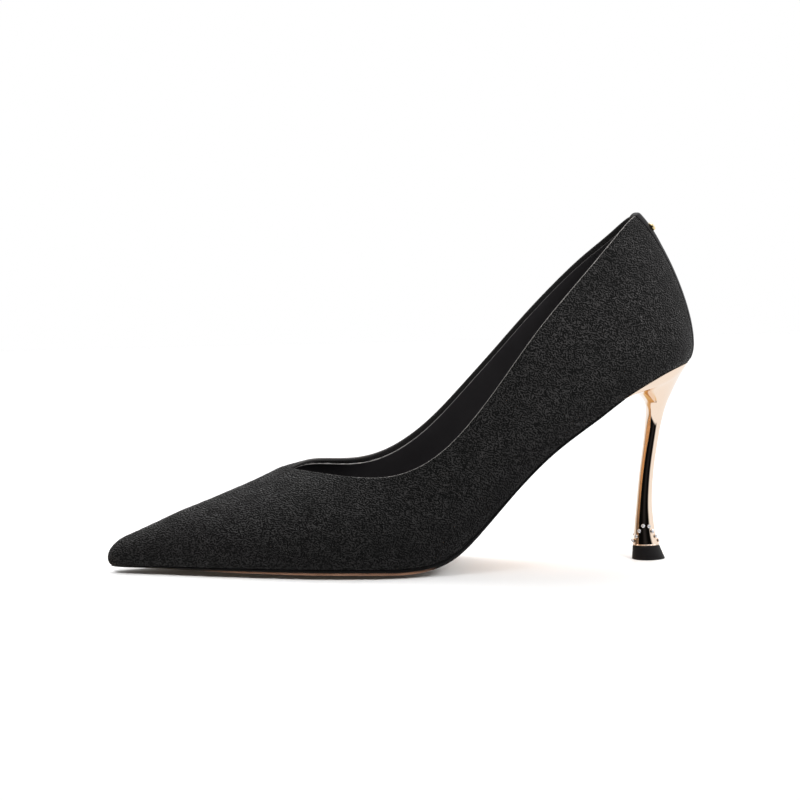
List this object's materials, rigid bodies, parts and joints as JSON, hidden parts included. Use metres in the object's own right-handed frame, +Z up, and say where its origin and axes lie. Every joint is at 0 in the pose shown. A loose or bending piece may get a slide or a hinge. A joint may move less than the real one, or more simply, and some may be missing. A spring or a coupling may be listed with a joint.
{
  "type": "high heel shoe",
  "caption": "Pointed court shoe for the left foot with a V throat, a crinkled black leather upper and a slim flared gold heel ringed with small crystals.",
  "frame": {"origin": "on the floor, under the middle of the shoe's box", "axes": "+X from the toe towards the heel, +Y towards the inner (medial) side of the foot, +Z up"},
  "size_m": [0.2428, 0.0748, 0.1436],
  "materials": {
    "crinkled_leather": "matt, crinkled grain",
    "smooth_leather": "smooth, satin",
    "lining": "smooth, satin",
    "sole_edge": "inked edge, semi-gloss",
    "sole_leather": "satin",
    "polished_gold": "polished pale gold",
    "rubber": "matt",
    "crystal": "clear, cut"
  },
  "bodies": {
    "root": {"upper": "crinkled_leather", "back_strip": "smooth_leather", "insole": "lining", "rand": "sole_edge", "outsole": "sole_leather", "heel": "polished_gold", "top_piece": "rubber", "badge": "polished_gold", "crystal_01": "crystal", "crystal_02": "crystal", "crystal_03": "crystal", "crystal_04": "crystal", "crystal_05": "crystal", "crystal_06": "crystal", "crystal_07": "crystal", "crystal_08": "crystal", "crystal_09": "crystal", "crystal_10": "crystal", "crystal_11": "crystal", "crystal_12": "crystal", "crystal_13": "crystal", "crystal_14": "crystal", "crystal_15": "crystal", "crystal_16": "crystal"}
  },
  "joints": []
}
